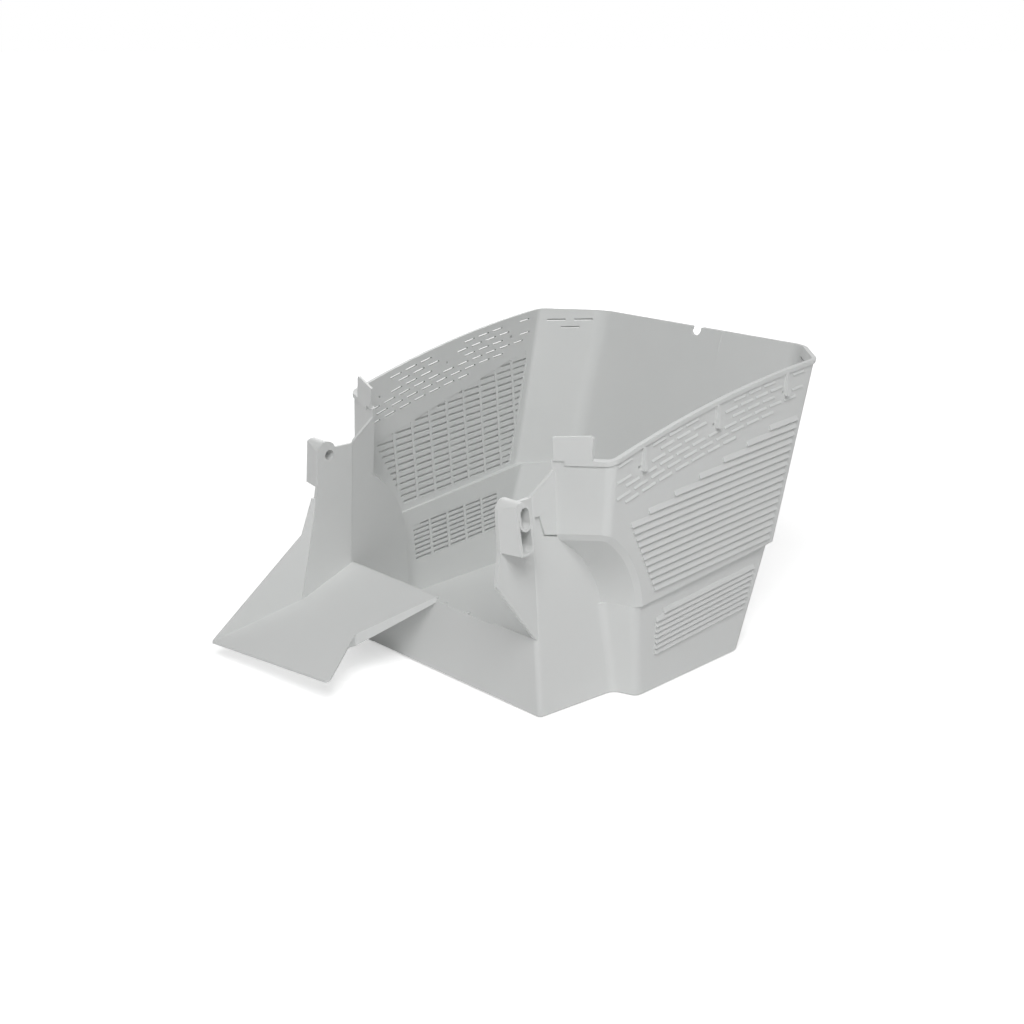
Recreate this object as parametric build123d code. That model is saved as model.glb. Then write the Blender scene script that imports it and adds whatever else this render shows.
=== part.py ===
from build123d import *
import os
from math import acos, cos, hypot, radians, sin, sqrt, tan

# Lower tub of a rigid grass box: a moulded open tub with a narrower throat at the front.
# Millimetres, +X to the right, +Y to the rear, +Z up. Heights start at the floor's underside.
# In the sizes below y starts at the front face of the sill. The parts are moved at the end,
# so that the origin is in the middle of the floor's underside.

# Moulding
wall = 3.0
floor_plate = 3.0
base_bevel = 2.0
origin_back = 150.0

# Throat between the mower's wheels
throat_half = 137.0
throat_flare = 0.11
throat_lean = 0.07
throat_top = 204.0
throat_rise = 21.0
throat_rise_end = 31.0
throat_depth = 110.0
throat_corner = 5.0
throat_cove = 10.0

# Front sill
sill_top = 75.0
sill_dip_start = 12.0
sill_dip_end = 78.0
sill_dip = 2.0
sill_tooth_start = 40.0
sill_tooth_end = 44.0
foot_start = 100.0
foot_gap = 2.0
foot_depth = 8.0

# Lower tier
shoulder_width = 31.5
low_side = throat_half + shoulder_width
low_side_flare = 0.010
low_side_lean = 0.020
low_front = 38.8
low_front_lean = -0.087
low_rear = 300.0
low_rear_lean = 0.22
low_facet = 289.0
low_facet_lean = 0.26

# Upper tier, stepped out from the lower one
side_step = 0.5
up_side_flare = 0.034
up_side_lean = 0.020
shoulder_reach = 60.8
up_front_lean = 0.045
rear_step = 3.0
up_rear_lean = 0.28
facet_step = 12.5
up_facet_lean = 0.185

# Both tiers
front_sweep = 0.33
facet_turn = 41.4
front_corner = 10.0
side_corner = 10.0
rear_corner = 30.0

# Ledge where the upper tier steps out
ledge_height = 92.0
ledge_start = 88.0
ledge_rise = 0.085
tier_overlap = 40.0

# Wheel arch, a round cut across each front corner
arch_radius = 111.0
arch_inset = 4.0
arch_middle_y = -40.8
arch_middle_z = 69.7
arch_rise = 0.15
arch_bevel = 4.0

# Rim, an arc over each side, with a lip outside
rim_top = 285.0
rim_back_y = 330.0
rim_mid_y = 184.0
rim_mid_drop = 16.3
rim_front_y = 40.0
rim_front_drop = 49.0
rim_nose_y = 22.0
rim_nose_drop = 6.5
rim_rear_y = 382.0
rim_rear_drop = 3.0
lip_height = 4.0
lip_proud = 1.6
lip_start = 3.0

# Notch and fading pad in the middle of the rear wall
notch_width = 13.0
notch_depth = 9.0
pad_half = 34.0
pad_height = 40.0
pad_proud = 1.0

# Louvres in the side walls
row_rise = 0.06
upper_row_pitch = 7.0
lower_row_pitch = 5.4
slot_height = 2.4
column_pitch = 26.0
rib_width = 3.5
rib_proud = 0.8
grille_edge = 1.5
crease_margin = 2.5
upper_front_top_y = 68.0
upper_front_low_y = 106.0
upper_front_drop = 65.0
upper_rear_drop = 41.0
upper_low_gap = 9.5
lower_front_y = 114.0
lower_low_z = 36.0
lower_top_gap = 14.5

# Slats over the louvres
slat_root = 1.4
slat_proud = 2.3
slat_cover = 0.8
slat_sheet = 1.0
slat_bury = 0.5

# Staggered slots below the rim
vent_rows = 6
vent_row_pitch = 7.3
vent_first = 8.0
vent_slot = 16.0
vent_slot_gap = 6.0
vent_slot_height = 2.0
vent_front_y = 54.0
vent_edge = 2.5
vent_to_grille = 11.0

# Longer slots in the rear corners
facet_slot = 21.0
facet_slot_pitch = 31.0
facet_first = 10.0
facet_row_pitch = 8.5

# Snap hooks under the lip
hook_places = (84.0, 181.0, 281.0)
hook_width = 3.6
hook_height = 21.0
hook_reach = 4.5
hook_hole = 3.0
hook_hole_ahead = 3.8

# Posts in front of the throat
post_flare = 0.06
post_proud = 1.0
post_corner_y = -46.0
post_corner_drop = 29.0

# Ears on the posts
ear_front = -40.0
ear_back = -19.5
ear_sweep = 0.22
ear_foot_drop = 38.0
ear_rise = 7.0
ear_overhang = 6.0
ear_lean = 0.15
ear_heel = 7.0
ear_skin = 2.0
ear_web = 10.0

# Bore through each ear, with an oval mouth outside
bore_radius = 5.0
bore_y = -26.5
bore_drop = 7.0
mouth_height = 18.5

# Mark beside each post, a bent recess in the throat wall
mark_front = 4.0
mark_width = 6.0
mark_bend = 15.0
mark_end = 34.0
mark_top_drop = 18.0
mark_bend_drop = 35.5
mark_end_drop = 40.0
mark_line = 1.5
mark_deep = 2.4

# Tabs on the front corners
tab_inset = 11.0
tab_width = 35.0
tab_sink = 1.0
tab_back = 60.0
tab_inner_rise = 16.5
tab_outer_rise = 22.0
tab_round = 3.0

# Inlet chute on the left half of the sill
chute_lap = 3.0
chute_fall = 0.43
chute_sheet = 2.6
chute_kink_x = -38.0
chute_kink_y = -68.0
chute_kink_round = 3.0
chute_elbow_x = -32.0
chute_elbow_y = -81.0
chute_elbow_round = 8.0
chute_nose_x = -12.0
chute_nose_y = -120.0
chute_nose_round = 4.0
chute_front_y = -136.0
chute_fold_y = -58.0
flange_back = 5.5
flange_front = 12.0

# Wing on the chute's left edge, with a strip up the post
wing_inset = 2.6
wing_spread = 41.0
wing_peak_y = -45.0
wing_peak_drop = 35.0
wing_knee = 0.108
wing_strip_drop = 11.0
wing_strip = 4.0
wing_tuck = 1.0

# Where the moulding is divided
rear_wall_half = 112.0
shoulder_back = 108.0
upper_corner_back = 48.0

# Construction limits, larger than the tub
far = 500.0
above_top = 320.0


def plan_wall(nx, ny, reach, lean):
    """One leaning wall: nx * x + ny * y = reach + lean * z, with a unit normal."""
    size = hypot(nx, ny)
    return (nx / size, ny / size, reach / size, lean / size)


def crossing(first, second, z, inset):
    """Where two walls meet in plan at a height, both moved inwards."""
    a, b, c, lean_c = first
    d, e, f, lean_f = second
    c = c + lean_c * z - inset
    f = f + lean_f * z - inset
    det = a * e - b * d
    return ((c * e - b * f) / det, (a * f - c * d) / det)


def ring(right_walls, rear, front=None):
    """A whole plan outline, anticlockwise, from its right-hand walls."""
    left_walls = [(-nx, ny, reach, lean) for nx, ny, reach, lean in reversed(right_walls)]
    loop = right_walls + [rear] + left_walls
    if front:
        loop = [front] + loop
    return loop


def column(walls, radii, low, high, inset=0.0):
    """A leaning column between two heights, with flat walls and rounded standing edges."""
    rings = []
    for z in (low, high):
        rings.append([(*crossing(walls[i - 1], walls[i], z, inset), z) for i in range(len(walls))])
    foot, head = rings
    faces = [make_face(Polyline(*foot, close=True)), make_face(Polyline(*head, close=True))]
    for i in range(len(walls)):
        faces.append(make_face(Polyline(foot[i - 1], foot[i], head[i], head[i - 1], close=True)))
    block = Solid(Shell([piece.face() for piece in faces]))
    for corner, (start, end) in zip(radii, zip(foot, head)):
        if corner > inset:
            middle = (Vector(*start) + Vector(*end)) / 2
            edge = block.edges().sort_by_distance(middle)[0]
            block = fillet(edge, corner - inset)
    return block


def side_profile(*edges):
    """A closed outline in y and z, carried across the whole width."""
    return extrude(Plane.YZ * make_face(list(edges)), far, both=True)


def side_polygon(*points):
    """A closed polygon in y and z, carried across the whole width."""
    return side_profile(Polyline(*points, close=True))


def below_slope(height, start, rise):
    """Everything below a plane that climbs to the rear."""
    low_end = height + rise * (-far - start)
    high_end = height + rise * (far - start)
    return side_polygon((-far, -far), (far, -far), (far, high_end), (-far, low_end))


def ledge_at(y):
    """Height of the ledge's underside at one point of a side."""
    return ledge_height + ledge_rise * (y - ledge_start)


def post_x(y, z):
    """How far out a post's outer face is."""
    return throat_half - throat_lean * z - post_flare * y


def chute_z(y):
    """Height of the chute's upper face."""
    return sill_top + chute_lap + chute_fall * y


def rim_arc(drop):
    """The rim's curve over a side, lowered by a drop."""
    top = rim_top - drop
    return ThreePointArc(
        (rim_front_y, top - rim_front_drop),
        (rim_mid_y, top - rim_mid_drop),
        (rim_back_y, top),
    )


def below_rim(drop):
    """Everything below the rim, lowered by a drop."""
    arc = rim_arc(drop)
    rear = rim_top - rim_rear_drop - drop
    tail = Polyline(
        arc @ 1,
        (rim_rear_y, rear),
        (far, rear),
        (far, -far),
        (-far, -far),
        (-far, (arc @ 0).Y - rim_nose_drop),
        (rim_nose_y, (arc @ 0).Y - rim_nose_drop),
        arc @ 0,
    )
    return side_profile(arc, tail)


def rim_height(y):
    """Height of the rim's arc above one point of a side."""
    arc = rim_arc(0)
    middle = arc.arc_center
    return middle.Y + sqrt(arc.radius**2 - (y - middle.X) ** 2)


def crease_at(walls, z, margin):
    """Where a tier's flat side ends at a height, less a margin, before it rounds into its rear corner."""
    side, facet = walls[1], walls[2]
    turn = acos(side[0] * facet[0] + side[1] * facet[1])
    return crossing(side, facet, z, 0)[1] - side_corner * tan(turn / 2) - margin


def before_crease(margin):
    """Everything in front of both tiers' creases, less a margin."""
    step = ledge_at(crease_at(up_right, ledge_height, margin))
    return side_polygon(
        (-far, -far),
        (crease_at(low_right, -far, margin), -far),
        (crease_at(low_right, step, margin), step),
        (crease_at(up_right, step, margin), step),
        (crease_at(up_right, far, margin), far),
        (-far, far),
    )


def room(x=(-far, far), y=(-far, far), z=(-far, far)):
    """A block between limits on each axis."""
    size = (x[1] - x[0], y[1] - y[0], z[1] - z[0])
    middle = ((x[0] + x[1]) / 2, (y[0] + y[1]) / 2, (z[0] + z[1]) / 2)
    return Pos(*middle) * Box(*size)


def arch(radius, side):
    """The wheel's round clearance at one front corner."""
    middle_x = throat_half - arch_inset
    axis = Plane(
        origin=(side * middle_x, arch_middle_y, arch_middle_z),
        z_dir=(side, front_sweep, arch_rise),
    )
    return axis * Cylinder(radius, 2 * middle_x)


def bevel_arch(block, radius, corner):
    """Cuts both wheel arches into the upper tier and bevels their edges at the front and sides."""
    inside = throat_half / 2
    halves = []
    for side in (1, -1):
        limits = sorted((side * inside, side * far))
        half = (block & room(x=limits)) - arch(radius, side)
        edges = []
        for face in half.faces().filter_by(GeomType.CYLINDER):
            if abs(face.radius - radius) < wall / 2:
                edges = edges + [edge for edge in face.edges() if on_arch_edge(edge @ 0.5, inside)]
        halves.append(chamfer(edges, corner))
    return halves[0] + halves[1] + (block & room(x=(-inside, inside)))


def on_arch_edge(middle, inside):
    """Whether an edge of the arch lies clear of the ledge and of the throat's middle."""
    return abs(middle.X) > inside + wall and middle.Z > ledge_at(middle.Y) + 2 * wall


def side_plane(reach, flare, lean):
    """A right side wall's outer face: x along the louvres, y up them and z outwards."""
    along = (flare + lean * row_rise, 1, row_rise)
    return Plane(origin=(reach, 0, 0), x_dir=along, z_dir=(1, -flare, -lean))


def slat(length, depth):
    """A sloping cover over a slot whose top edge lies on the x axis, and the cutter for that slot.

    The cutter also clears the space behind the cover and leaves a cheek at each end.
    """
    low = -slot_height - slat_cover
    shell = Polyline(
        (slat_root, -slat_bury),
        (slat_root, 0),
        (low, slat_proud),
        (low, -slat_bury),
        close=True,
    )
    space = Polyline(
        (0, -depth),
        (0, 0),
        (low, slat_proud - slat_sheet),
        (low, 0),
        (-slot_height, 0),
        (-slot_height, -depth),
        close=True,
    )
    cover = extrude(Plane.YZ * make_face(shell), length / 2, both=True)
    cutter = extrude(Plane.YZ * make_face(space), length / 2 - slat_sheet, both=True)
    return cover, cutter


def span(corners, height):
    """Where a level line enters and leaves a convex outline."""
    meets = []
    for (x0, y0), (x1, y1) in zip(corners, corners[1:] + corners[:1]):
        if y0 != y1 and min(y0, y1) <= height <= max(y0, y1):
            meets.append(x0 + (x1 - x0) * (height - y0) / (y1 - y0))
    return min(meets), max(meets)


def louvres(panel, reach, flare, lean, corners, pitch):
    """The louvred plate that fills a window of a side panel, and the window's cutter.

    Grooves from outside cross pockets from inside, which opens a slot at each crossing.
    A sloping slat covers each groove.
    """
    plane = side_plane(reach, flare, lean)
    outline = []
    for y, z in corners:
        flat = plane.to_local_coords(Vector(reach + flare * y + lean * z, y, z))
        outline.append((flat.X, flat.Y))
    border = make_face(Polyline(*outline, close=True))
    field = offset(border, -grille_edge, kind=Kind.INTERSECTION)
    box = field.bounding_box()
    window = plane * extrude(border, 2 * wall, both=True)
    inside = plane * extrude(field, 2 * wall, both=True)
    slats = []
    grooves = []
    row = box.min.Y + slot_height + slat_cover
    while row + slat_root < box.max.Y:
        low_start, low_end = span(outline, row - slot_height - slat_cover)
        high_start, high_end = span(outline, row + slat_root)
        start = max(low_start, high_start) + grille_edge
        end = min(low_end, high_end) - grille_edge
        if end - start > column_pitch:
            cover, groove = slat(end - start, wall - rib_proud)
            place = plane * Pos((start + end) / 2, row, 0)
            slats.append(place * cover)
            grooves.append(place * groove)
        row = row + pitch
    pockets = []
    place = box.min.X + rib_width
    while place + column_pitch - rib_width < box.max.X + rib_width:
        pocket = Box(column_pitch - rib_width, box.size.Y, 2 * rib_proud)
        pockets.append(plane * Pos(place + (column_pitch - rib_width) / 2, box.center().Y, -wall) * pocket)
        place = place + column_pitch
    plate = (panel & window) + slats - grooves
    return plate - ((Part() + pockets) & inside), window


def is_cove(edge):
    """Whether a standing edge is the hollow corner between the throat and the lower front."""
    reach, front = abs((edge @ 0.5).X), (edge @ 0.5).Y
    standing = abs((edge @ 1).Z - (edge @ 0).Z) > tier_overlap
    return standing and reach < low_side - front_corner and front > low_front


# Plan outlines
facet_x = cos(radians(facet_turn))
facet_y = sin(radians(facet_turn))
low_right = [
    plan_wall(front_sweep, -1, -low_front, -low_front_lean),
    plan_wall(1, -low_side_flare, low_side, low_side_lean),
    (facet_x, facet_y, low_facet, low_facet_lean),
]
low_walls = ring(low_right, (0, 1, low_rear, low_rear_lean))
up_side = low_side + side_step
up_right = [
    plan_wall(front_sweep, -1, shoulder_reach - low_front, -up_front_lean),
    plan_wall(1, -up_side_flare, up_side, up_side_lean),
    (facet_x, facet_y, low_facet + facet_step, up_facet_lean),
]
up_walls = ring(up_right, (0, 1, low_rear + rear_step, up_rear_lean))
body_radii = [0, front_corner, side_corner, rear_corner, rear_corner, side_corner, front_corner]
throat_right = [plan_wall(1, -throat_flare, throat_half, -throat_lean)]
throat_walls = ring(throat_right, (0, 1, throat_depth, 0), (0, -1, 0, 0))
throat_radii = [throat_corner, throat_corner, 0, 0]
passage_walls = ring(throat_right, (0, 1, throat_depth, 0), (0, -1, far, 0))
post_right = [plan_wall(1, post_flare, throat_half, -throat_lean)]
post_walls = ring(post_right, (0, 1, far, 0), (0, -1, far, 0))
sharp = [0] * 4

# The tub as one thin moulding
low_top = ledge_height + tier_overlap
up_bottom = ledge_height - tier_overlap
below_ledge = below_slope(ledge_height, ledge_start, ledge_rise)
below_inner_ledge = below_slope(ledge_height + wall, ledge_start, ledge_rise)
below_top = below_rim(0)
below_throat_top = side_polygon(
    (-far, -far),
    (far, -far),
    (far, throat_top + throat_rise),
    (throat_rise_end, throat_top + throat_rise),
    (0, throat_top),
    (-far, throat_top),
)
up_block = column(up_walls, body_radii, up_bottom, above_top)
up_hollow = column(up_walls, body_radii, up_bottom, above_top, wall)
foot = column(low_walls, body_radii, 0, low_top) + column(throat_walls, throat_radii, 0, low_top)
cove_edges = [edge for edge in foot.edges() if is_cove(edge)]
foot = fillet(cove_edges, throat_cove)
foot = chamfer(foot.faces().sort_by(Axis.Z)[0].edges(), base_bevel)
outer_low = foot & below_ledge
inner_low = column(low_walls, body_radii, floor_plate, low_top, wall) & below_inner_ledge
outer_up = bevel_arch(up_block - below_ledge, arch_radius, arch_bevel)
inner_up = up_hollow - below_inner_ledge
for side in (1, -1):
    inner_up = inner_up - arch(arch_radius + wall, side)
outer_throat = column(throat_walls, throat_radii, floor_plate, above_top) & below_throat_top
inner_throat = column(throat_walls, throat_radii, floor_plate, above_top, wall)
passage = column(passage_walls, sharp, 0, above_top, wall)
throat_zone = column(passage_walls, sharp, 0, above_top)
inner = inner_low + inner_up + inner_throat + (passage - room(z=(-far, sill_top)))
tub = ((outer_low + outer_up + outer_throat) - inner) & below_top
right_half = room(x=(0, far))

# Floor and sill
raised = room(x=(-foot_start, foot_start), y=(-far, foot_depth), z=(-far, foot_gap))
floor_pan = (tub & room(z=(-far, floor_plate))) - raised
stand = tub - room(z=(-far, floor_plate))
dip = room(x=(sill_dip_start, sill_dip_end), z=(sill_top - sill_dip, far))
tooth = room(x=(sill_tooth_start, sill_tooth_end))
front_sill = (stand & passage) - (dip - tooth)

# Throat walls
mark = side_polygon(
    (mark_front, throat_top - mark_top_drop),
    (mark_front + mark_width, throat_top - mark_top_drop),
    (mark_bend, throat_top - mark_bend_drop),
    (mark_end, throat_top - mark_end_drop),
    (mark_end, throat_top - mark_end_drop - mark_line),
    (mark_bend - mark_line, throat_top - mark_bend_drop - mark_line),
)
mark = mark - column(passage_walls, sharp, 0, above_top, mark_deep)
throat_wall = (stand & throat_zone & right_half) - passage - mark

# Rear wall, with its notch and a pad that fades out downwards
walls = stand - throat_zone
rear_zone = room(x=(-rear_wall_half, rear_wall_half), y=(throat_depth, far))
notch_floor = rim_top - rim_rear_drop - notch_depth + notch_width / 2
notch = room(x=(-notch_width / 2, notch_width / 2), z=(notch_floor, far))
notch = notch + extrude(Plane.XZ * Pos(0, notch_floor) * Circle(notch_width / 2), far, both=True)
notch = notch & rear_zone
pad_low = rim_top - rim_rear_drop - pad_height
rear_low_y = low_rear + rear_step + up_rear_lean * pad_low - wall
rear_top_y = rear_low_y + up_rear_lean * pad_height
pad = side_polygon(
    (rear_low_y, pad_low),
    (rear_top_y - pad_proud, pad_low + pad_height),
    (rear_top_y + wall / 2, pad_low + pad_height),
    (rear_low_y + wall / 2, pad_low),
)
pad = pad & room(x=(-pad_half, pad_half)) & below_top
rear_wall = (walls & rear_zone) + pad - notch

# Right flank, from the rear corner forwards
flank = (walls & right_half) - rear_zone
crease = before_crease(0)
rear_corner_wall = flank - crease
facet_wall = up_right[2]
facet_mid_z = rim_top - rim_rear_drop - facet_first
side_end = crossing(up_right[1], facet_wall, facet_mid_z, 0)
rear_end = crossing(facet_wall, up_walls[3], facet_mid_z, 0)
facet_middle = ((side_end[0] + rear_end[0]) / 2, (side_end[1] + rear_end[1]) / 2, facet_mid_z)
facet_plane = Plane(
    origin=facet_middle,
    x_dir=(-facet_y, facet_x, 0),
    z_dir=(facet_x, facet_y, -up_facet_lean),
)
for along, drop in (
    (-facet_slot_pitch / 2, 0),
    (facet_slot_pitch / 2, 0),
    (0, facet_row_pitch),
):
    slot = facet_plane * Pos(along, -drop, 0) * Box(facet_slot, vent_slot_height, 4 * wall)
    rear_corner_wall = rear_corner_wall - slot
flank = flank & crease
arch_sheet = arch(arch_radius + wall, 1) - below_ledge
low_front_zone = below_inner_ledge & room(y=(-far, shoulder_back))
up_front_zone = room(y=(-far, upper_corner_back)) - below_inner_ledge
wheel_arch = flank & arch_sheet
flank = flank - arch_sheet
shoulder = flank & low_front_zone
flank = flank - low_front_zone
upper_corner = flank & up_front_zone
side_wall = flank - up_front_zone

# Louvred grilles, between the ledge and the slotted band below the rim
upper_top_z = rim_top - upper_rear_drop
upper_rear_top_y = crease_at(up_right, upper_top_z, crease_margin)
upper_front_top_z = rim_height(upper_front_top_y) - upper_front_drop
upper_low_z = ledge_at(upper_front_low_y) + upper_low_gap
upper_rear_low_y = crease_at(up_right, upper_low_z, crease_margin)
upper_corners = [
    (upper_front_low_y, upper_low_z),
    (upper_rear_low_y, upper_low_z + row_rise * (upper_rear_low_y - upper_front_low_y)),
    (upper_rear_top_y, upper_top_z),
    (upper_front_top_y, upper_front_top_z),
]
lower_top_z = ledge_at(lower_front_y) - lower_top_gap
lower_rear_low_y = crease_at(low_right, lower_low_z, crease_margin)
lower_rear_top_y = crease_at(low_right, lower_top_z, crease_margin)
lower_corners = [
    (lower_front_y, lower_low_z),
    (lower_rear_low_y, lower_low_z + row_rise * (lower_rear_low_y - lower_front_y)),
    (lower_rear_top_y, ledge_at(lower_rear_top_y) - lower_top_gap),
    (lower_front_y, lower_top_z),
]
upper_grille, upper_window = louvres(
    side_wall, up_side, up_side_flare, up_side_lean, upper_corners, upper_row_pitch
)
lower_grille, lower_window = louvres(
    side_wall, low_side, low_side_flare, low_side_lean, lower_corners, lower_row_pitch
)


def grille_top(y):
    """Height of the upper grille's sloping top edge."""
    climb = (upper_top_z - upper_front_top_z) / (upper_rear_top_y - upper_front_top_y)
    return upper_front_top_z + climb * (y - upper_front_top_y)


def on_side(y, z, turn):
    """A frame on the right side's outer face, with x turned up from level."""
    forth, up = cos(radians(turn)), sin(radians(turn))
    return Plane(
        origin=(up_side + up_side_flare * y + up_side_lean * z, y, z),
        x_dir=(up_side_flare * forth + up_side_lean * up, forth, up),
        z_dir=(1, -up_side_flare, -up_side_lean),
    )


# Slotted band below the rim, with a small hole ahead of each snap hook's foot
band_gap = vent_to_grille / 2
band = side_polygon(
    (-far, grille_top(-far) + band_gap),
    (far, grille_top(far) + band_gap),
    (far, far),
    (-far, far),
)
band = band & below_rim(lip_height) & right_half & before_crease(crease_margin)
band = band & room(y=(vent_front_y - vent_edge, far))
slots = []
for row in range(vent_rows):
    drop = vent_first + row * vent_row_pitch
    arc = rim_arc(drop)
    stagger = (row % 2) * (vent_slot + vent_slot_gap) / 2
    along = vent_front_y - rim_front_y + vent_slot / 2 + stagger
    while along < arc.length:
        spot = arc.position_at(along, position_mode=PositionMode.LENGTH)
        turn = arc.tangent_angle_at(along, position_mode=PositionMode.LENGTH)
        end = crease_at(up_right, spot.Y, crease_margin) - vent_edge - vent_slot / 2
        reach = (vent_slot + hook_width) / 2 + vent_slot_gap / 2
        behind_hook = drop < lip_height + hook_height + vent_slot_height and any(
            abs(spot.X - place) < reach for place in hook_places
        )
        clear = spot.Y > grille_top(spot.X) + vent_to_grille
        if spot.X < end and clear and not behind_hook:
            slots.append(on_side(spot.X, spot.Y, turn) * Box(vent_slot, vent_slot_height, 4 * wall))
        along = along + vent_slot + vent_slot_gap
for place in hook_places:
    hole_z = rim_height(place) - lip_height - hook_height + hook_hole
    slots.append(on_side(place - hook_hole_ahead, hole_z, 0) * Box(hook_hole, hook_hole, 4 * wall))
rim_vent = (side_wall & band) - slots
side_wall = side_wall - upper_window - lower_window - band

# Rim lip outside the upper tier
lip = column(up_walls, body_radii, up_bottom, above_top, -lip_proud) - up_block
lip_middle = throat_half - lip_start
lip = (lip & below_top) - below_rim(lip_height) - room(x=(-lip_middle, lip_middle), y=(-far, throat_depth))
rear_rim_lip = lip - crease - notch
rim_lip = (lip & crease) & right_half

# Snap hooks, wedges that hang from the lip
hooks = []
for place in hook_places:
    top = rim_height(place)
    root_x = up_side + up_side_flare * place + up_side_lean * top
    section = Plane(origin=(root_x, place, top), x_dir=(1, -up_side_flare, 0), z_dir=(-up_side_flare, -1, 0))
    wedge = Polyline(
        (-lip_proud, -lip_height),
        (lip_proud, -lip_height),
        (hook_reach, -lip_height - hook_height),
        (-lip_proud, -lip_height - hook_height),
        close=True,
    )
    hook = extrude(section * make_face(wedge), hook_width / 2, both=True)
    hooks.append((hook & below_rim(lip_height)) - up_block)
snap_hooks = Part() + hooks

# Tabs that stand on the front corners
tab_end = up_side - tab_inset
rim_front = rim_top - rim_front_drop
tab_outline = FilletPolyline(
    (0, 0),
    (tab_end, 0),
    (tab_end, rim_front + tab_outer_rise),
    (tab_end - tab_width, rim_front + tab_inner_rise),
    (0, rim_front + tab_inner_rise),
    radius=(0, 0, tab_round, 0, 0),
    close=True,
)
tab_zone = extrude(Plane.XZ * make_face(tab_outline), -tab_back)
tab_sheet = column(up_walls, body_radii, up_bottom, above_top, -lip_proud)
tab_sheet = tab_sheet - column(up_walls, body_radii, up_bottom, above_top, tab_sink)
tab = (tab_sheet & tab_zone) - below_top - throat_zone

# Ears, which sweep back from the posts, lean out at the foot and are hollow from outside
ear_foot = throat_top - ear_foot_drop
ear_root = post_x(ear_front, throat_top)
ear_tip = throat_half + ear_overhang


def ear_bar(skin):
    """The ear's outline in y and z, carried outwards: a flat foot, a round heel and a round top."""
    front = ear_front + skin
    back = ear_back - skin
    crown = (back - front) / 2
    low = ear_foot + skin
    high = throat_top + ear_rise - skin
    heel = ear_heel - skin
    neck = high - crown
    foot = Polyline((front, neck), (front, low), (back - heel, low))
    heel_arc = RadiusArc((back - heel, low), (back, low + heel), -heel)
    spine = Line((back, low + heel), (back, neck))
    top = ThreePointArc((back, neck), (front + crown, high), (front, neck))
    return extrude(Plane.YZ * make_face([*foot.edges(), heel_arc, spine, top]), far, both=True)


def ear_swept(skin):
    """The ear's outline carried outwards, cut by its swept front."""
    near = ear_front + skin - ear_sweep * ear_root
    front = Polyline((0, near), (far, near + ear_sweep * far), (far, far), (0, far), close=True)
    return ear_bar(skin) & extrude(make_face(front), above_top)


tip_low = ear_tip + ear_lean * throat_top
tip_high = ear_tip + ear_lean * (throat_top - above_top)
tip_side = Polyline((0, 0), (tip_low, 0), (tip_high, above_top), (0, above_top), close=True)
before_tip = extrude(Plane.XZ * make_face(tip_side), far, both=True)
post_block = column(post_walls, sharp, 0, above_top)
bore_z = throat_top - bore_drop
bore_axis = Plane.YZ * Pos(bore_y, bore_z)
bore = extrude(bore_axis * Circle(bore_radius), far, both=True)
upright = Rot(0, 0, 90)
mouth = extrude(bore_axis * upright * SlotOverall(mouth_height, 2 * bore_radius), far)
tube_height = mouth_height + 2 * ear_skin
tube_width = 2 * (bore_radius + ear_skin)
tube = extrude(bore_axis * upright * SlotOverall(tube_height, tube_width), far)
pocket = ear_swept(ear_skin) - tube - room(z=(bore_z, far))
beyond_web = room(x=(post_x(bore_y, bore_z) + ear_web, far))
ear = (ear_swept(0) & before_tip) - post_block - bore - ((mouth + pocket) & beyond_web)

# Posts, with the ears' outline in their own
post_sheet = post_block - column(post_walls, sharp, 0, above_top, wall + post_proud)
post_sheet = post_sheet - outer_throat
post_head = [(ear_front, ear_foot), (ear_front, throat_top), (throat_corner, throat_top)]
wing_peak_z = ear_foot - wing_peak_drop
right_post_side = side_polygon(
    (throat_corner, sill_top),
    (0, sill_top),
    (post_corner_y, ear_foot - post_corner_drop),
    *post_head,
)
left_post_side = side_polygon(
    (throat_corner, chute_z(0)),
    (0, chute_z(0)),
    (chute_fold_y, chute_z(chute_fold_y)),
    (wing_peak_y, wing_peak_z),
    *post_head,
)
right_post = (post_sheet & (right_post_side + ear_bar(0)) & right_half) - bore
left_post = (post_sheet & (left_post_side + ear_bar(0))) - right_half - bore

# Chute floor, which hooks over the sill
chute_back = chute_z(0)
below_chute = below_slope(chute_back, 0, chute_fall)
below_sheet = below_slope(chute_back - chute_sheet, 0, chute_fall)
chute_left = -post_x(0, chute_back)
fold_x = wing_inset - post_x(chute_fold_y, chute_z(chute_fold_y))
tip_x = fold_x - wing_spread
chute_plan = FilletPolyline(
    (0, 0),
    (chute_kink_x, chute_kink_y),
    (chute_elbow_x, chute_elbow_y),
    (chute_nose_x, chute_nose_y),
    (tip_x, chute_front_y),
    (fold_x, chute_fold_y),
    (chute_left, 0),
    radius=(0, chute_kink_round, chute_elbow_round, chute_nose_round, 0, 0, 0),
    close=True,
)
chute_hook = room(x=(chute_left, 0), y=(0, wall), z=(sill_top, chute_back)) & passage
chute_floor = (extrude(make_face(chute_plan), above_top) & below_chute) - below_sheet
chute_floor = chute_floor - left_post + chute_hook

# Flange that turns down along the chute's right edge and tapers off at the elbow
def edge_strip(start, end):
    """A strip as wide as the sheet is thick, inside one straight edge of the chute."""
    run = end - start
    across = Vector(run.Y, -run.X).normalized() * chute_sheet
    return make_face(Polyline(start, end, end + across, start + across, close=True))


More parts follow.
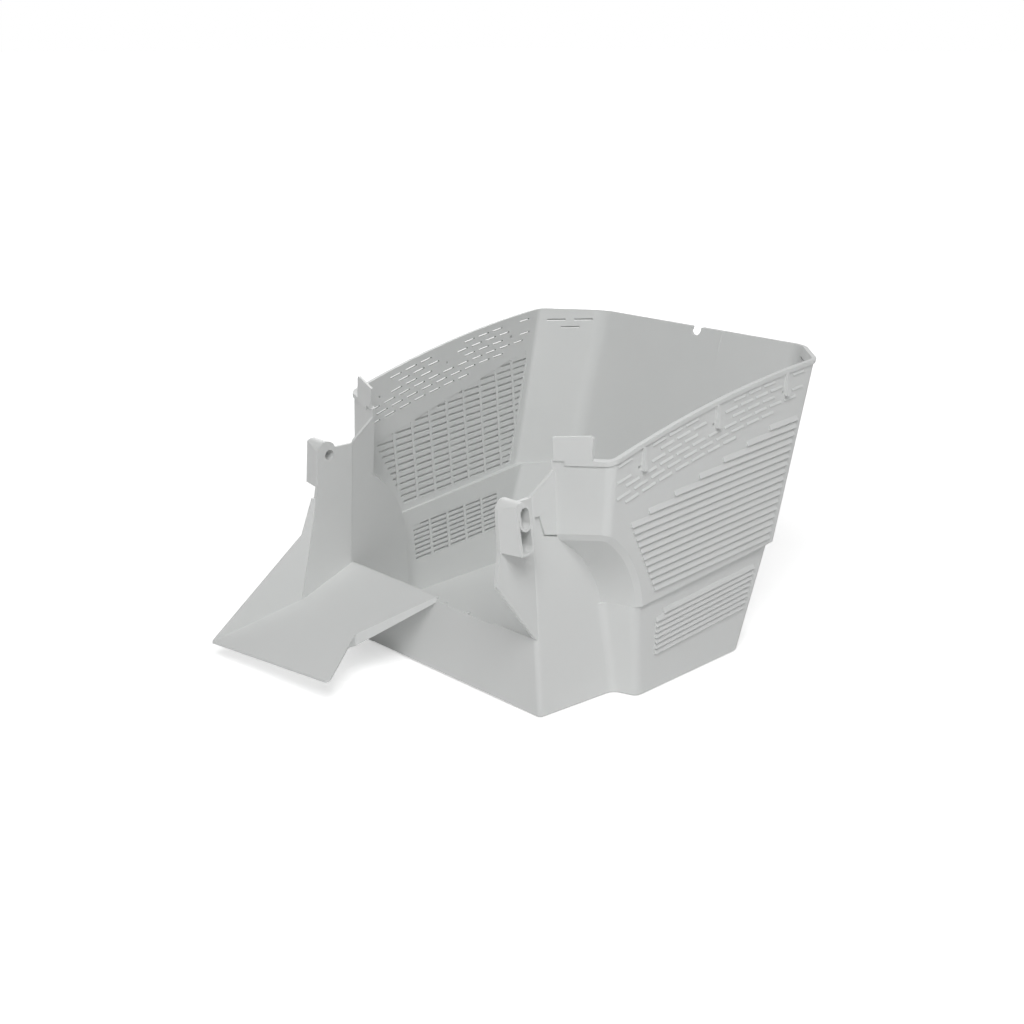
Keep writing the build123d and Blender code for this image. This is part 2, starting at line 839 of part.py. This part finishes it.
kink = Vector(chute_kink_x, chute_kink_y)
elbow = Vector(chute_elbow_x, chute_elbow_y)
flange_plan = edge_strip(Vector(0, 0), kink) + edge_strip(kink, elbow) + Pos(kink) * Circle(chute_sheet)
flange_side = side_polygon(
    (0, chute_back - flange_back),
    (chute_kink_y, chute_z(chute_kink_y) - flange_front),
    (chute_elbow_y, chute_z(chute_elbow_y) - chute_sheet),
    (chute_elbow_y, above_top),
    (0, above_top),
)
chute_flange = extrude(flange_plan & make_face(chute_plan), above_top) & flange_side & below_sheet

# Wing that stands on the chute's left edge and runs up the post
fold_back = Vector(fold_x, chute_fold_y, chute_z(chute_fold_y))
fold_tip = Vector(tip_x, chute_front_y, chute_z(chute_front_y))
peak = Vector(wing_inset - post_x(wing_peak_y, wing_peak_z), wing_peak_y, wing_peak_z)
post_edge = peak - fold_back
up_edge = post_edge.normalized()
along_fold = fold_tip - fold_back
forward = (along_fold - up_edge * along_fold.dot(up_edge)).normalized()
strip_top = fold_back + post_edge * ((ear_foot - wing_strip_drop - fold_back.Z) / post_edge.Z)
sink = up_edge * (-2 * chute_sheet)
tuck = forward * -wing_tuck
wing_outline = Polyline(
    strip_top + tuck,
    fold_back + tuck + sink,
    fold_tip + sink,
    fold_tip,
    peak + (fold_tip - peak) * wing_knee,
    strip_top + forward * wing_strip,
    close=True,
)
outward = along_fold.cross(post_edge).normalized()
chute_wing = extrude(make_face(wing_outline), chute_sheet, dir=outward)
chute_wing = chute_wing - below_sheet - chute_floor - left_post

# Nodes
middle_parts = {
    "floor_pan": floor_pan,
    "front_sill": front_sill,
    "rear_wall": rear_wall,
    "rear_rim_lip": rear_rim_lip,
    "left_post": left_post,
    "right_post": right_post,
    "chute_floor": chute_floor,
    "chute_flange": chute_flange,
    "chute_wing": chute_wing,
}
paired_parts = {
    "throat_wall": throat_wall,
    "shoulder": shoulder,
    "wheel_arch": wheel_arch,
    "upper_corner": upper_corner,
    "side_wall": side_wall,
    "upper_grille": upper_grille,
    "lower_grille": lower_grille,
    "rim_vent": rim_vent,
    "rear_corner": rear_corner_wall,
    "rim_lip": rim_lip,
    "snap_hooks": snap_hooks,
    "ear": ear,
    "tab": tab,
}
for name, shape in paired_parts.items():
    middle_parts["right_" + name] = shape
    middle_parts["left_" + name] = mirror(shape, about=Plane.YZ)

os.makedirs("parts", exist_ok=True)
for name, shape in middle_parts.items():
    export_step(Pos(0, -origin_back, 0) * shape, "parts/" + name + ".step")
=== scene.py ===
import math

import bmesh
import bpy
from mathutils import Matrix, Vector


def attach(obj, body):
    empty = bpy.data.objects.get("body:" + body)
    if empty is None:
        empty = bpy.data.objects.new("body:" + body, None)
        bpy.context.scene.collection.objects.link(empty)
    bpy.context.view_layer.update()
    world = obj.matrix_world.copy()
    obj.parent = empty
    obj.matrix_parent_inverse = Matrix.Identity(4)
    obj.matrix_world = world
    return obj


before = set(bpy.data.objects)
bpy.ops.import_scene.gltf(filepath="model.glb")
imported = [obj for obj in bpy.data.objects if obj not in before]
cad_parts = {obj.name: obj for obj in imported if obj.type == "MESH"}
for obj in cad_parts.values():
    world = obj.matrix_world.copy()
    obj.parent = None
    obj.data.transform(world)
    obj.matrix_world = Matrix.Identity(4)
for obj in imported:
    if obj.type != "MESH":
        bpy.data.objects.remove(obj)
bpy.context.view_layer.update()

# Camera at the photograph's angle: place in metres, angles in degrees
CAMERA_PLACE = (0.919217, -0.957025, 0.575056)
CAMERA_YAW = 45.3805
CAMERA_PITCH = 18.6842
CAMERA_LENS_MM = 49.21875
SENSOR_MM = 36.0

# Light grey polypropylene, moulded in a tool with a fine spark-eroded grain
PLASTIC_GREY = "#D9DBDA"
PLASTIC_PALE = "#DCDDDC"
PLASTIC_IOR = 1.49
PLASTIC_ROUGHNESS = 0.42
ROUGHNESS_SPREAD = 0.08
GRAIN_DEPTH_MM = 0.02
GRAIN_STRENGTH = 0.5
# Each pattern's size in millimetres and its detail. The real grain is finer than a pixel of the
# picture, so it is drawn coarser.
PATTERNS = {
    "flow": (90.0, 3.0),
    "clouds": (22.0, 4.0),
    "grain": (1.5, 2.0),
}

# Moulding
BODY = "root"
WALL_MM = 3.0
ROUND_STEPS = 2

# How closely the frame's triangles are joined into flat faces, and how far a measured size may be off
MERGE_MM = 0.002
FLAT_DEGREES = 0.5
SIZE_ROOM_MM = 0.3

# Slots below the rim. The roof of a slot faces down, so its normal's Z lies below the value given here.
VENT_NODES = ("rim_vent", "rear_corner")
VENT_HEIGHT_MM = 2.0
VENT_SHORTEST_MM = 6.0
VENT_LONGEST_MM = 25.0
ROOF_NORMAL_Z = -0.5

# Thin covers outside those slots: half the root's height, how far the foot stands out, the slit left open
# there, the sheet's thickness at the foot, and the lap past each end of the slot
COVER_ROOT_MM = 0.35
COVER_PROUD_MM = 1.1
COVER_SLIT_MM = 0.28
COVER_SHEET_MM = 0.45
COVER_LAP_MM = 0.7
COVER_ROUND_MM = 0.12

# Strips between the louvres' slots, inside. They stand on the four-cornered floors of shallow pockets
# between the upright ribs, and those floors are parallel to the ribs' faces.
GRILLE_NODES = ("upper_grille", "lower_grille")
POCKET_MM = 0.8
POCKET_CORNERS = 4
POCKET_PARALLEL = 0.99
STRIP_MM = 0.55
STRIP_ROUND_MM = 0.25

# Studio
WHITE = "#FFFFFF"
FLOOR_PALE = "#F6F6F6"
FLOOR_GLOW_NEAR = 0.45
FLOOR_GLOW_FAR = 0.9
FLOOR_NEAR_M = 0.4
FLOOR_FAR_M = 2.5
FLOOR_HALF_M = 60.0
FLOOR_DROP_M = 0.0002
SKY_STRENGTH = 0.18
SKY_SEEN = 1.0
LAMP_AIM = Vector((0.0, 0.0, 0.13))
# Each lamp's power in watts, side in metres and place
LAMPS = {
    "key": (47.5, 1.3, (1.45, -1.45, 2.2)),
    "top": (4.0, 2.0, (0.8, 0.1, 2.8)),
    "fill": (15.0, 1.3, (-1.75, 1.05, 0.9)),
}


def linear(code):
    """An sRGB hex colour as a linear RGBA colour."""
    shares = [int(code[place : place + 2], 16) / 255 for place in (1, 3, 5)]
    light = [c / 12.92 if c <= 0.04045 else ((c + 0.055) / 1.055) ** 2.4 for c in shares]
    return (*light, 1.0)


def metres(size_mm):
    """A size in millimetres as metres."""
    return size_mm / 1000


def millimetres(size_m):
    """A size in metres as millimetres."""
    return size_m * 1000


def per_metre(size_mm):
    """A texture's scale for a pattern of one real size."""
    return 1000.0 / size_mm


def longest_edge(face):
    """The longest edge of a face."""
    return max(face.edges, key=lambda edge: edge.calc_length())


def add(tree, kind, settings=None, inputs=None, **links):
    """One shader node with its settings, fixed inputs and links to earlier nodes' outputs."""
    node = tree.nodes.new(kind)
    for name, value in (settings or {}).items():
        setattr(node, name, value)
    for name, value in (inputs or {}).items():
        node.inputs[name].default_value = value
    for name, source in links.items():
        tree.links.new(source, node.inputs[name.replace("_", " ")])
    return node


def moulded_plastic():
    """Matt polypropylene: soft broad highlights, a fine grain and faint flow clouds."""
    material = bpy.data.materials.new("moulded_polypropylene")
    material.use_nodes = True
    tree = material.node_tree
    shader = tree.nodes["Principled BSDF"]
    shader.inputs["IOR"].default_value = PLASTIC_IOR
    place = add(tree, "ShaderNodeTexCoord").outputs["Object"]
    noise = {}
    for name, (size_mm, detail) in PATTERNS.items():
        inputs = {"Scale": per_metre(size_mm), "Detail": detail}
        noise[name] = add(tree, "ShaderNodeTexNoise", None, inputs, Vector=place).outputs["Fac"]
    tint = add(tree, "ShaderNodeMix", {"data_type": "RGBA"}, None, Factor=noise["flow"])
    tint.inputs["A"].default_value = linear(PLASTIC_GREY)
    tint.inputs["B"].default_value = linear(PLASTIC_PALE)
    rough_range = {
        "To Min": PLASTIC_ROUGHNESS - ROUGHNESS_SPREAD,
        "To Max": PLASTIC_ROUGHNESS + ROUGHNESS_SPREAD,
    }
    gloss = add(tree, "ShaderNodeMapRange", None, rough_range, Value=noise["clouds"])
    depth = {"Distance": metres(GRAIN_DEPTH_MM), "Strength": GRAIN_STRENGTH}
    bump = add(tree, "ShaderNodeBump", None, depth, Height=noise["grain"])
    tree.links.new(tint.outputs["Result"], shader.inputs["Base Color"])
    tree.links.new(gloss.outputs["Result"], shader.inputs["Roughness"])
    tree.links.new(bump.outputs["Normal"], shader.inputs["Normal"])
    return material


def dress(material):
    """Gives every CAD node the one finish of the moulding."""
    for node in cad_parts.values():
        node.data.materials.clear()
        node.data.materials.append(material)


def flat_faces(name):
    """A copy of a CAD node's mesh with its loose triangles merged into flat faces."""
    flat = bmesh.new()
    flat.from_mesh(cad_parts[name].data)
    bmesh.ops.remove_doubles(flat, verts=flat.verts, dist=metres(MERGE_MM))
    bmesh.ops.dissolve_limit(
        flat, angle_limit=math.radians(FLAT_DEGREES), verts=flat.verts, edges=flat.edges
    )
    return flat


def raise_face(solid, corners, rise, round_mm):
    """A closed block on a flat outline, with the edges of its far face rounded."""
    foot = solid.faces.new([solid.verts.new(corner) for corner in corners])
    grown = bmesh.ops.extrude_face_region(solid, geom=[foot], use_keep_orig=True)["geom"]
    head = [item for item in grown if isinstance(item, bmesh.types.BMFace)][0]
    bmesh.ops.translate(solid, vec=rise, verts=head.verts)
    bmesh.ops.bevel(
        solid,
        geom=list(head.edges),
        offset=metres(round_mm),
        segments=ROUND_STEPS,
        profile=0.5,
        affect="EDGES",
        clamp_overlap=True,
        material=-1,
    )


def finish_piece(name, solid, material):
    """Makes one moulded piece of a bmesh and lets it ride on the tub."""
    bmesh.ops.recalc_face_normals(solid, faces=solid.faces)
    mesh = bpy.data.meshes.new(name)
    solid.to_mesh(mesh)
    solid.free()
    mesh.materials.append(material)
    piece = bpy.data.objects.new(name, mesh)
    bpy.context.scene.collection.objects.link(piece)
    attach(piece, BODY)


def slot_roofs(flat):
    """Both ends of the outer edge, the outward way and the upward way of each slot's roof in a wall."""
    roofs = []
    for face in flat.faces:
        if face.normal.z > ROOF_NORMAL_Z:
            continue
        middle = face.calc_center_median()
        ridge = longest_edge(face)
        along = (ridge.verts[1].co - ridge.verts[0].co).normalized()
        outward = along.cross(face.normal)
        if outward.dot(middle) < 0:
            outward.negate()
        runs = [(corner.co - middle).dot(along) for corner in face.verts]
        depths = [(corner.co - middle).dot(outward) for corner in face.verts]
        deep = millimetres(max(depths) - min(depths))
        wide = millimetres(max(runs) - min(runs))
        if abs(deep - WALL_MM) < SIZE_ROOM_MM and VENT_SHORTEST_MM < wide < VENT_LONGEST_MM:
            edge = middle + outward * max(depths)
            roofs.append((edge + along * min(runs), edge + along * max(runs), outward, -face.normal))
    return roofs


def vent_covers(side, material):
    """Thin sloping covers outside the slots below the rim, each open along its foot."""
    solid = bmesh.new()
    for node in VENT_NODES:
        flat = flat_faces(f"{side}_{node}")
        for start, end, outward, upward in slot_roofs(flat):
            lap = (end - start).normalized() * metres(COVER_LAP_MM)
            low = upward * metres(COVER_SLIT_MM - VENT_HEIGHT_MM)
            profile = [
                upward * metres(COVER_ROOT_MM),
                low + outward * metres(COVER_PROUD_MM),
                low + outward * metres(COVER_PROUD_MM - COVER_SHEET_MM),
                upward * metres(-COVER_ROOT_MM),
            ]
            corners = [start - lap + point for point in profile]
            raise_face(solid, corners, end - start + 2 * lap, COVER_ROUND_MM)
        flat.free()
    finish_piece(f"{side}_vent_covers", solid, material)


def slot_strips(side, node, material):
    """Strips that bring the wall between a grille's slots nearly level with its upright ribs."""
    flat = flat_faces(f"{side}_{node}")
    inner = [face for face in flat.faces if face.normal.x * face.calc_center_median().x < 0]
    rib_face = max(inner, key=lambda face: face.calc_area())
    inward = rib_face.normal.copy()
    level = rib_face.calc_center_median().dot(inward)
    solid = bmesh.new()
    for face in inner:
        sunk = millimetres(level - face.calc_center_median().dot(inward))
        plain = len(face.verts) == POCKET_CORNERS and face.normal.dot(inward) > POCKET_PARALLEL
        if plain and abs(sunk - POCKET_MM) < SIZE_ROOM_MM:
            corners = [corner.co for corner in face.verts]
            raise_face(solid, corners, inward * metres(STRIP_MM), STRIP_ROUND_MM)
    flat.free()
    finish_piece(f"{side}_{node}_strips", solid, material)


def seen_directly(tree):
    """1 where the surroundings are seen or mirrored, 0 where they only give light."""
    path = add(tree, "ShaderNodeLightPath").outputs
    total = path["Is Camera Ray"]
    for kind in ("Is Glossy Ray", "Is Transmission Ray"):
        step = add(tree, "ShaderNodeMath", {"operation": "MAXIMUM"})
        tree.links.new(total, step.inputs[0])
        tree.links.new(path[kind], step.inputs[1])
        total = step.outputs["Value"]
    return total


def white_floor():
    """Matt white that takes a shadow and, where it is seen, fades to pure white away from the tub."""
    material = bpy.data.materials.new("white_floor")
    material.use_nodes = True
    tree = material.node_tree
    shader = tree.nodes["Principled BSDF"]
    shader.inputs["Base Color"].default_value = linear(FLOOR_PALE)
    shader.inputs["Roughness"].default_value = 1.0
    shader.inputs["Specular IOR Level"].default_value = 0.0
    shader.inputs["Emission Color"].default_value = linear(WHITE)
    place = add(tree, "ShaderNodeTexCoord").outputs["Object"]
    reach = add(tree, "ShaderNodeVectorMath", {"operation": "LENGTH"}, Vector=place).outputs["Value"]
    span = {
        "From Min": FLOOR_NEAR_M,
        "From Max": FLOOR_FAR_M,
        "To Min": FLOOR_GLOW_NEAR,
        "To Max": FLOOR_GLOW_FAR,
    }
    spread = add(tree, "ShaderNodeMapRange", None, span, Value=reach)
    glow = add(tree, "ShaderNodeMath", {"operation": "MULTIPLY"})
    tree.links.new(spread.outputs["Result"], glow.inputs[0])
    tree.links.new(seen_directly(tree), glow.inputs[1])
    tree.links.new(glow.outputs["Value"], shader.inputs["Emission Strength"])
    return material


def studio_floor():
    """A plain pale floor under the tub, which keeps its shadow."""
    mesh = bpy.data.meshes.new("floor")
    plane = bmesh.new()
    bmesh.ops.create_grid(plane, x_segments=1, y_segments=1, size=FLOOR_HALF_M)
    bmesh.ops.translate(plane, vec=(0, 0, -FLOOR_DROP_M), verts=plane.verts)
    plane.to_mesh(mesh)
    plane.free()
    mesh.materials.append(white_floor())
    floor = bpy.data.objects.new("floor", mesh)
    bpy.context.scene.collection.objects.link(floor)


def studio_light():
    """Even white surroundings, a large soft lamp beside the camera and weaker ones overhead and behind."""
    world = bpy.data.worlds.new("studio")
    bpy.context.scene.world = world
    world.use_nodes = True
    tree = world.node_tree
    sky = {"To Min": SKY_STRENGTH, "To Max": SKY_SEEN}
    seen = add(tree, "ShaderNodeMapRange", None, sky, Value=seen_directly(tree))
    surroundings = tree.nodes["Background"]
    surroundings.inputs["Color"].default_value = linear(WHITE)
    tree.links.new(seen.outputs["Result"], surroundings.inputs["Strength"])
    for name, (power, side, place) in LAMPS.items():
        light = bpy.data.lights.new(name, "AREA")
        light.energy = power
        light.size = side
        lamp = bpy.data.objects.new(name, light)
        lamp.location = place
        lamp.rotation_euler = (LAMP_AIM - Vector(place)).to_track_quat("-Z", "Y").to_euler()
        bpy.context.scene.collection.objects.link(lamp)


def photo_camera():
    """The camera at the photograph's angle."""
    lens = bpy.data.cameras.new("photo_camera")
    lens.lens = CAMERA_LENS_MM
    lens.sensor_width = SENSOR_MM
    camera = bpy.data.objects.new("photo_camera", lens)
    camera.location = CAMERA_PLACE
    camera.rotation_euler = (math.radians(90 - CAMERA_PITCH), 0, math.radians(CAMERA_YAW))
    bpy.context.scene.collection.objects.link(camera)
    bpy.context.scene.camera = camera


bpy.context.scene.view_settings.view_transform = "Standard"
plastic = moulded_plastic()
dress(plastic)
for side in ("left", "right"):
    vent_covers(side, plastic)
    for node in GRILLE_NODES:
        slot_strips(side, node, plastic)
studio_floor()
studio_light()
photo_camera()
